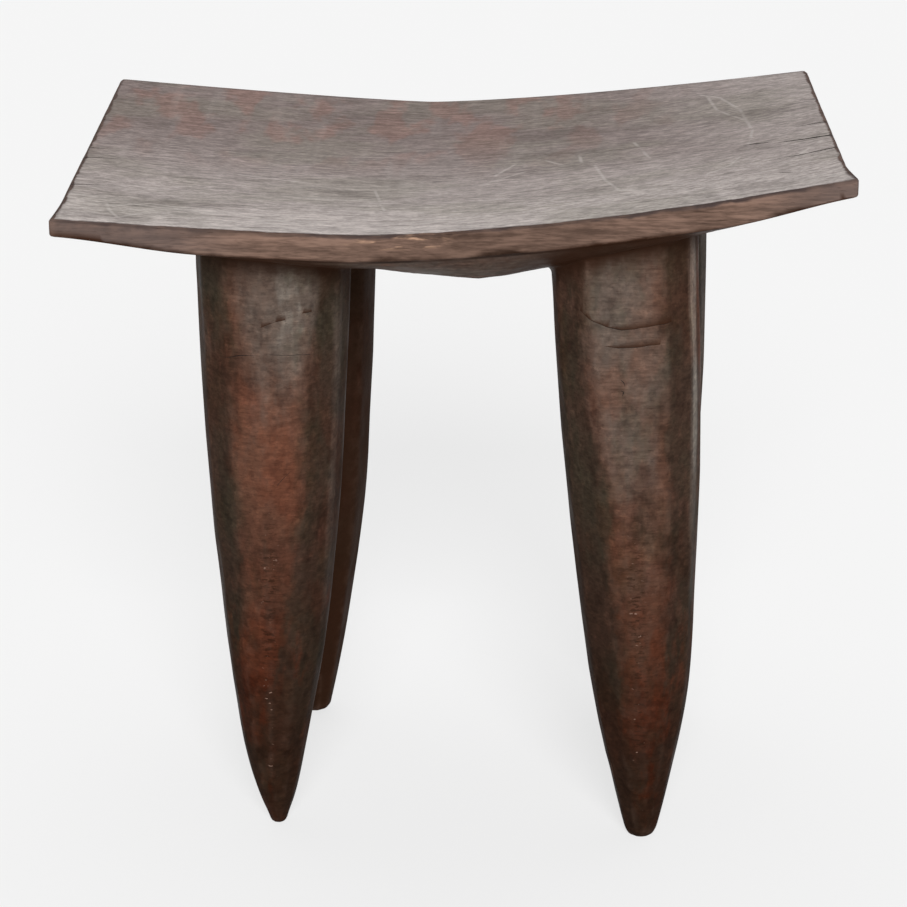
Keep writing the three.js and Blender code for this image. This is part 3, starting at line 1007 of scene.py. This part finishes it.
def grained(colour, grain, dashes, streaks):
    """A colour darkened and lightened by two layers of the grain, each by a share of its depth."""
    for name, depth in (("Dashes", dashes), ("Streaks", streaks)):
        shade = between(grain[name], 0.36, 0.64, 1 - depth, 1 + depth)
        colour = blend(1.0, colour, shade, "MULTIPLY")
    return colour


def patch(place, scale, shift, low, high, amount, colour, over, how="MIX"):
    """A colour laid over another in noise patches, up to an amount."""
    spots = between(clouds(place, scale, shift, 4.0, 0.62), low, high, 0.0, amount)
    return blend(spots, colour, over, how)


def top_finish(place, grain, finish):
    """Wood greyed by dust and painted sheen, paler to the front, with dull red patches towards the back and
    pale scratches.
    """
    axes = fed("SeparateXYZ", {0: place}).outputs
    # Painted sheen: the top turns to its pale front colour towards the front, and by a share towards the
    # right end
    sheen_to_front = between(axes["Y"], 0.1, -0.22)
    to_end = between(axes["X"], 0.06, 0.26, 0.0, 0.6)
    colour = blend(calc("MAXIMUM", sheen_to_front, to_end), finish.top_back, finish.top_front_dust_and_sheen)
    colour = patch(place, (8, 15, 15), 21.0, 0.44, 0.6, 0.3, colour, finish.top_green)
    reds = between(clouds(place, (34, 13, 13), 1.0, 3.0, 0.5), 0.48, 0.58)
    back = times(between(axes["Y"], -0.05, 0.09), between(axes["X"], 0.2, 0.02))
    colour = blend(times(reds, back, 0.7), colour, finish.top_red)
    colour = patch(place, (9, 24, 24), 4.0, 0.5, 0.7, 0.4, colour, finish.top_dark)
    colour = grained(colour, grain, 0.18, 0.1)
    speckle = between(clouds(place, (320, 900, 900), 35.0, 2.0, 0.6), 0.35, 0.65, 0.88, 1.12)
    colour = blend(1.0, colour, speckle, "MULTIPLY")
    colour = blend(times(grain["Lines"], 0.4), colour, finish.top_dark)
    rubs = between(clouds(place, (13, 80, 80), 6.0, 4.0, 0.7), 0.52, 0.72)
    rubs = times(rubs, between(axes["Y"], 0.02, -0.15), 0.33)
    smears = between(clouds(place, (70, 8, 8), 31.0, 3.0, 0.5), 0.56, 0.75, 0.0, 0.1)
    pale = calc("MAXIMUM", times(scratches(place), 0.4), smears, rubs)
    colour = blend(pale, colour, finish.top_pale)
    low, high = finish.top_roughness - 0.07, finish.top_roughness + 0.07
    return colour, between(grain["Dashes"], 0.3, 0.7, low, high)


def rim_finish(place, grain, finish):
    """Warm brown wood, rubbed bare in places and worn through in the middle, with dark grain, greyer at its
    ends, and dark along its lower edge with dirt and painted shade."""
    axes = fed("SeparateXYZ", {0: place}).outputs
    colour = grained(finish.rim, grain, 0.2, 0.2)
    colour = patch(place, (17, 95, 120), 5.0, 0.48, 0.66, 0.7, colour, finish.rim_bare)
    colour = patch(place, (9, 45, 70), 8.0, 0.52, 0.68, 0.6, colour, finish.rim_dark)
    from_middle = calc("ABSOLUTE", calc("SUBTRACT", axes["X"], 0.03))
    colour = blend(between(from_middle, 0.11, 0.03, 0.0, 0.22), colour, finish.rim_dark)
    colour = blend(between(from_middle, 0.14, 0.24, 0.0, 0.6), colour, finish.rim_grey)
    colour = blend(between(axes["X"], -0.17, -0.215, 0.0, 0.25), colour, finish.rim_dark)
    colour = blend(times(grain["Lines"], 0.5), colour, finish.rim_dark)
    spot = between(calc("ABSOLUTE", calc("ADD", axes["X"], 0.03)), 0.04, 0.015)
    upper = between(mask(place, "drop"), 0.6, 0.35)
    holes = between(clouds(place, (60, 60, 300), 3.0), 0.5, 0.64, 0.0, 0.7)
    colour = blend(times(spot, upper, holes), colour, finish.rim_worn)
    # Painted shade and dirt: the rim darkens to the feet's colour towards its lower edge, which faces down
    wave = between(clouds(place, (30, 60, 60), 9.0), 0.3, 0.7, -0.15, 0.15)
    low = calc("ADD", mask(place, "drop"), wave)
    return blend(between(low, 0.75, 1.05, 0.0, 0.85), colour, finish.foot)


def leg_finish(place, grain, finish):
    """Dark, handled wood: browner where it is rubbed and where light is painted on the front, with red, grey
    and greenish places in it, the grey partly painted sheen and at its palest a painted highlight, almost
    black at the feet, and a column of ray flecks."""
    height = fed("SeparateXYZ", {0: place}).outputs["Z"]
    coarse = between(clouds(place, (24, 24, 11), 5.0, 4.0, 0.6), 0.3, 0.7, -0.3, 0.3)
    fine = between(clouds(place, (150, 150, 60), 6.0, 3.0, 0.6), 0.3, 0.7, -0.16, 0.16)
    uneven = calc("ADD", coarse, fine)
    brown = calc("ADD", mask(place, "brown"), uneven)
    colour = patch(place, (22, 22, 10), 9.0, 0.42, 0.62, 0.7, finish.leg_dark, finish.leg_green)
    # Brown: rubbed wood, and painted light on the faces towards the front
    colour = blend(between(brown, 0.0, 1.0), colour, finish.leg)
    reds = between(brown, 0.0, 0.5, 0.1, 0.45)
    colour = patch(place, (28, 28, 12), 12.0, 0.46, 0.64, reds, colour, finish.leg_red)
    # Grey: grey wood and painted sheen, and at its palest a painted highlight
    grey = calc("ADD", mask(place, "grey"), times(uneven, 0.7))
    colour = blend(between(grey, 0.0, 1.0, 0.0, 0.95), colour, finish.leg_grey_and_sheen)
    colour = blend(between(grey, 0.95, 1.5), colour, finish.leg_painted_highlight)
    colour = grained(colour, grain, 0.09, 0.07)
    colour = blend(times(grain["Lines"], 0.2), colour, finish.foot)
    # Painted shade and dirt: the legs darken towards the feet
    colour = blend(between(height, 0.34, 0.02, 0.0, 0.82), colour, finish.foot)
    low_reds = between(clouds(place, (40, 40, 18), 91.0, 4.0, 0.62), 0.42, 0.6, 0.2, 1.0)
    low_reds = times(between(brown, 0.05, 0.4), between(height, 0.26, 0.12), low_reds)
    colour = blend(low_reds, colour, LOW_RED_TINT, "MULTIPLY")
    for *spots, tint in LEG_MOTTLES:
        colour = patch(place, *spots, 1.0, colour, tint, "MULTIPLY")
    column = mask(place, "fleck")
    nicks = between(clouds(place, (130, 130, 430), 13.0, 3.0, 0.6), 0.54, 0.6)
    colour = blend(times(nicks, column, 0.65), colour, finish.foot)
    glints = between(clouds(place, (230, 230, 420), 14.0, 2.0, 0.5), 0.68, 0.73)
    return blend(times(glints, column, 0.7), colour, finish.rim_bare)


def new_material(name, values):
    """A material and its shader, with values for the shader's sockets."""
    material = bpy.data.materials.new(name)
    material.use_nodes = True
    shader = material.node_tree.nodes["Principled BSDF"]
    for socket, value in values.items():
        shader.inputs[socket].default_value = value
    return material, shader


def wood_material(finish):
    """The table's finish: each place of the table has its own colours over one grain, and a dark line runs
    along the top's edge."""
    material, shader = new_material("worn_wood", {"Specular IOR Level": finish.gloss})
    tree = material.node_tree
    place = add(tree, "TexCoord").outputs["Object"]
    grain = fed("Group", {"Place": place}, node_tree=grain_group()).outputs
    top, top_roughness = top_finish(place, grain, finish)
    ragged = between(clouds(place, (50, 50, 50), 19.0, 3.0, 0.6), 0.3, 0.7, -0.9, 0.9)
    edge = calc("ADD", mask(place, "edge"), ragged)
    on_top = between(edge, 0.3, 1.2)
    on_leg = between(mask(place, "drop"), 1.05, 1.15)
    colour = blend(on_leg, rim_finish(place, grain, finish), leg_finish(place, grain, finish))
    colour = blend(on_top, colour, top)
    colour = blend(times(grain["Pores"], 0.3), colour, finish.foot)
    depth = fed("SeparateXYZ", {0: place}).outputs["Y"]
    thick = between(clouds(place, (15, 15, 15), 27.0, 3.0, 0.6), 0.38, 0.62, 0.35, 0.95)
    thick = times(thick, between(depth, -0.14, -0.17, 0.4, 1.0))
    reach = between(depth, -0.14, -0.17, 1.9, 3.4)
    line = times(between(edge, reach, 1.0), between(edge, -2.6, -0.8))
    colour = blend(times(line, thick), colour, finish.edge)
    off_top = calc("SUBTRACT", 1.0, on_top)
    # Creases darken with dirt and painted shade; the shade mask paints shade under the seat and on the legs'
    # inner sides
    for name, strength, tint in (("crease", 0.6, finish.foot), ("shade", 1.0, finish.shaded)):
        colour = blend(times(mask(place, name), strength, off_top), colour, tint)
    bare = between(clouds(place, (90, 90, 90), 15.0), 0.4, 0.65, 0.0, 0.3)
    colour = blend(times(mask(place, "ridge"), off_top, bare), colour, finish.rim_bare)
    tree.links.new(colour, shader.inputs["Base Color"])
    low, high = finish.leg_roughness - 0.08, finish.leg_roughness + 0.1
    leg_roughness = between(clouds(place, (40, 40, 25), 17.0), 0.35, 0.65, low, high)
    roughness = fed("Mix", {0: on_top, 2: leg_roughness, 3: top_roughness}, data_type="FLOAT").outputs[0]
    tree.links.new(roughness, shader.inputs["Roughness"])
    height = times(grain["Height"], between(on_leg, 0.0, 1.0, 1.0, 0.35))
    bump = fed("Bump", {"Strength": 0.5, "Distance": 0.0003, "Height": height})
    tree.links.new(bump.outputs[0], shader.inputs["Normal"])
    return material


def split_material(finish):
    """The dark walls of the splits."""
    return new_material("split_wood", {"Base Color": (*finish.split, 1), "Roughness": 0.9})[0]


def floor_material():
    """One grey all over, lit a little from within so that shadows on it stay faint."""
    dull = {"Base Color": (*[FLOOR_GREY] * 3, 1), "Roughness": 0.9, "Specular IOR Level": 0.0}
    glow = {"Emission Color": (1, 1, 1, 1), "Emission Strength": FLOOR_GLOW}
    return new_material("floor", dull | glow)[0]


def length_property(name, description, default):
    """A length setting."""
    return bpy.props.FloatProperty(name=name, description=description, default=default, unit="LENGTH")


def share_property(name, description, default):
    """A setting from 0 to 1."""
    return bpy.props.FloatProperty(
        name=name, description=description, default=default, subtype="FACTOR", min=0, max=1
    )


def colour_property(name, description, default):
    """A colour setting."""
    return bpy.props.FloatVectorProperty(
        name=name, description=description, default=default, subtype="COLOR", min=0, max=1
    )


class SeatSettings(bpy.types.PropertyGroup):
    """Sizes of the seat."""

    length: length_property("Length", "From end to end between the top edges", 0.5024)
    depth: length_property("Depth", "From the front to the back top edge", 0.35)
    rim: length_property("Rim", "Thickness of the rim along the middle", 0.0174)
    nose: length_property("Nose", "How far the rim bulges past the top edge", 0.0021)
    hollow: length_property("Hollow", "Depth of the hollow across the seat", 0.002)
    belly: length_property("Belly", "Depth of the belly under the rim", 0.0294)
    keel: length_property("Keel", "Depth of the keel under the belly", 0.0137)
    fillet: length_property("Fillet", "Radius where a leg meets the underside", 0.004)
    edge_crispness: bpy.props.FloatProperty(
        name="Edge crispness", description="Power of the rim's section: higher is squarer", default=8.0
    )

class FinishSettings(bpy.types.PropertyGroup):
    """Colours and gloss of the wood."""

    # The top's front and back colours hold dust and painted sheen, which is painted paler towards the front
    top_front_dust_and_sheen: colour_property("Top, front", "Dusty wood along the front of the top", (0.45, 0.405, 0.385))
    top_back: colour_property("Top, back", "Dusty wood along the back of the top", (0.21, 0.17, 0.16))
    top_green: colour_property("Top, green", "Greenish patches of the top", (0.2, 0.19, 0.15))
    top_red: colour_property("Top, red", "Dull red patches of the top", (0.235, 0.15, 0.13))
    top_dark: colour_property("Top, dark", "Grain lines and dark patches of the top", (0.1, 0.082, 0.072))
    top_pale: colour_property("Top, pale", "Scratches and rubbed streaks of the top", (0.52, 0.48, 0.45))
    edge: colour_property("Top, edge", "Dark line along the edge of the top", (0.05, 0.036, 0.034))
    rim: colour_property("Rim", "Warm brown of the rim", (0.118, 0.074, 0.056))
    rim_bare: colour_property("Rim, bare", "Wood rubbed bare", (0.225, 0.142, 0.108))
    rim_dark: colour_property("Rim, dark", "Dark grain of the rim", (0.03, 0.018, 0.013))
    rim_grey: colour_property("Rim, grey", "Weathered wood at the ends of the rim", (0.125, 0.098, 0.092))
    rim_worn: colour_property("Rim, worn", "Pale wood where the rim is worn through", (0.48, 0.3, 0.2))
    # The legs' brown is rubbed wood and painted light, their grey is grey wood and painted sheen, and their
    # palest is a painted highlight
    leg: colour_property("Legs", "Brown of the legs", (0.1, 0.045, 0.0285))
    leg_grey_and_sheen: colour_property("Legs, grey", "Places rubbed grey", (0.093, 0.071, 0.058))
    leg_painted_highlight: colour_property("Legs, pale", "Palest of the rubbed places", (0.19, 0.165, 0.14))
    leg_red: colour_property("Legs, red", "Reddish wood around the rubbed places", (0.076, 0.031, 0.0205))
    leg_dark: colour_property("Legs, dark", "Dark wood of the legs", (0.043, 0.0255, 0.018))
    leg_green: colour_property("Legs, green", "Greenish stains of the legs", (0.038, 0.031, 0.021))
    # Dirt and dark marks, and also the colour of painted shade in creases, along the rim's lower edge and
    # towards the feet
    foot: colour_property("Feet", "Dirt at the feet and in the creases", (0.015, 0.0068, 0.0037))
    shaded: colour_property("Shaded", "Wood in the shade under the seat", (0.03, 0.012, 0.006))
    split: colour_property("Splits", "Walls of the splits", (0.012, 0.009, 0.007))
    gloss: share_property("Gloss", "Strength of the wood's reflections", 0.005)
    top_roughness: share_property("Top roughness", "Roughness of the top", 0.5)
    leg_roughness: share_property("Leg roughness", "Roughness of the legs and rim", 0.42)


class TABLE_OT_body(bpy.types.Operator):
    """Carves the table: seat and legs as one closed mesh"""

    bl_idname = "side_table.body"
    bl_label = "Table"

    def execute(self, context):
        seat, finish = context.scene.side_table_seat, context.scene.side_table_finish
        parts = [seat_top(seat), seat_rim(seat), *(quarter_and_leg(leg, seat) for leg in LEGS)]
        points, faces = weld(parts)
        table = new_object("carved_table", np.clip(points, *np.array(CAD_BOX)), faces)
        table.data.materials.append(wood_material(finish))
        table.data.materials.append(split_material(finish))
        cut_splits(table, seat)
        table.data.shade_smooth()
        table.data.set_sharp_from_angle(angle=math.radians(38))
        write_masks(table, seat)
        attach(table, "root")
        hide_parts(NODE)
        return {"FINISHED"}


class TABLE_OT_stage(bpy.types.Operator):
    """Sets up the floor, the lights and the camera"""

    bl_idname = "side_table.stage"
    bl_label = "Stage"

    def execute(self, context):
        corners = [(FLOOR_HALF * x, FLOOR_HALF * y, 0) for x, y in ((-1, -1), (1, -1), (1, 1), (-1, 1))]
        floor = new_object("floor", corners, [(0, 1, 2, 3)])
        floor.data.materials.append(floor_material())
        world = bpy.data.worlds.new("studio")
        world.use_nodes = True
        tree = world.node_tree
        seen = add(tree, "LightPath").outputs["Is Camera Ray"]
        level = fed("Mix", {0: seen, 2: WORLD_LIGHT, 3: WORLD_SEEN}, data_type="FLOAT").outputs[0]
        tree.links.new(level, tree.nodes["Background"].inputs["Strength"])
        tree.nodes["Background"].inputs["Color"].default_value = (1, 1, 1, 1)
        context.scene.world = world
        context.scene.view_settings.view_transform = "Standard"
        for name, azimuth, elevation, size, strength in SUNS:
            sun = bpy.data.objects.new(name, bpy.data.lights.new(name, "SUN"))
            sun.data.angle = math.radians(size)
            sun.data.energy = strength
            sun.rotation_euler = (math.radians(90 - elevation), 0, math.radians(azimuth))
            context.scene.collection.objects.link(sun)
        azimuth, pitch, roll = (math.radians(turn) for turn in CAMERA_TURN)
        camera = bpy.data.objects.new("camera", bpy.data.cameras.new("camera"))
        camera.data.sensor_width = SENSOR_WIDTH
        camera.data.lens = SENSOR_WIDTH * FOCAL_PIXELS / PICTURE_PIXELS
        turn = Matrix.Rotation(azimuth, 4, "Z") @ Matrix.Rotation(math.pi / 2 - pitch, 4, "X")
        camera.matrix_world = Matrix.Translation(CAMERA_PLACE) @ turn @ Matrix.Rotation(roll, 4, "Z")
        context.scene.collection.objects.link(camera)
        context.scene.camera = camera
        return {"FINISHED"}


class TABLE_PT_panel(bpy.types.Panel):
    """Lists the table's sizes and its pieces"""

    bl_label = "Side Table"
    bl_idname = "TABLE_PT_panel"
    bl_space_type = "VIEW_3D"
    bl_region_type = "UI"
    bl_category = "Side Table"

    def draw(self, context):
        for settings in (context.scene.side_table_seat, context.scene.side_table_finish):
            for name in settings.bl_rna.properties.keys():
                if name not in {"rna_type", "name"}:
                    self.layout.prop(settings, name)
        self.layout.operator(TABLE_OT_body.bl_idname)
        self.layout.operator(TABLE_OT_stage.bl_idname)


CLASSES = (SeatSettings, FinishSettings, TABLE_OT_body, TABLE_OT_stage, TABLE_PT_panel)


def register():
    """Registers the classes and the scene's settings."""
    for item in CLASSES:
        bpy.utils.register_class(item)
    bpy.types.Scene.side_table_seat = bpy.props.PointerProperty(type=SeatSettings)
    bpy.types.Scene.side_table_finish = bpy.props.PointerProperty(type=FinishSettings)


def unregister():
    """Removes the settings and the classes."""
    del bpy.types.Scene.side_table_finish
    del bpy.types.Scene.side_table_seat
    for item in reversed(CLASSES):
        bpy.utils.unregister_class(item)


def main():
    """Registers the add-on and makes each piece."""
    register()
    bpy.ops.side_table.body()
    bpy.ops.side_table.stage()


if __name__ == "__main__":
    main()
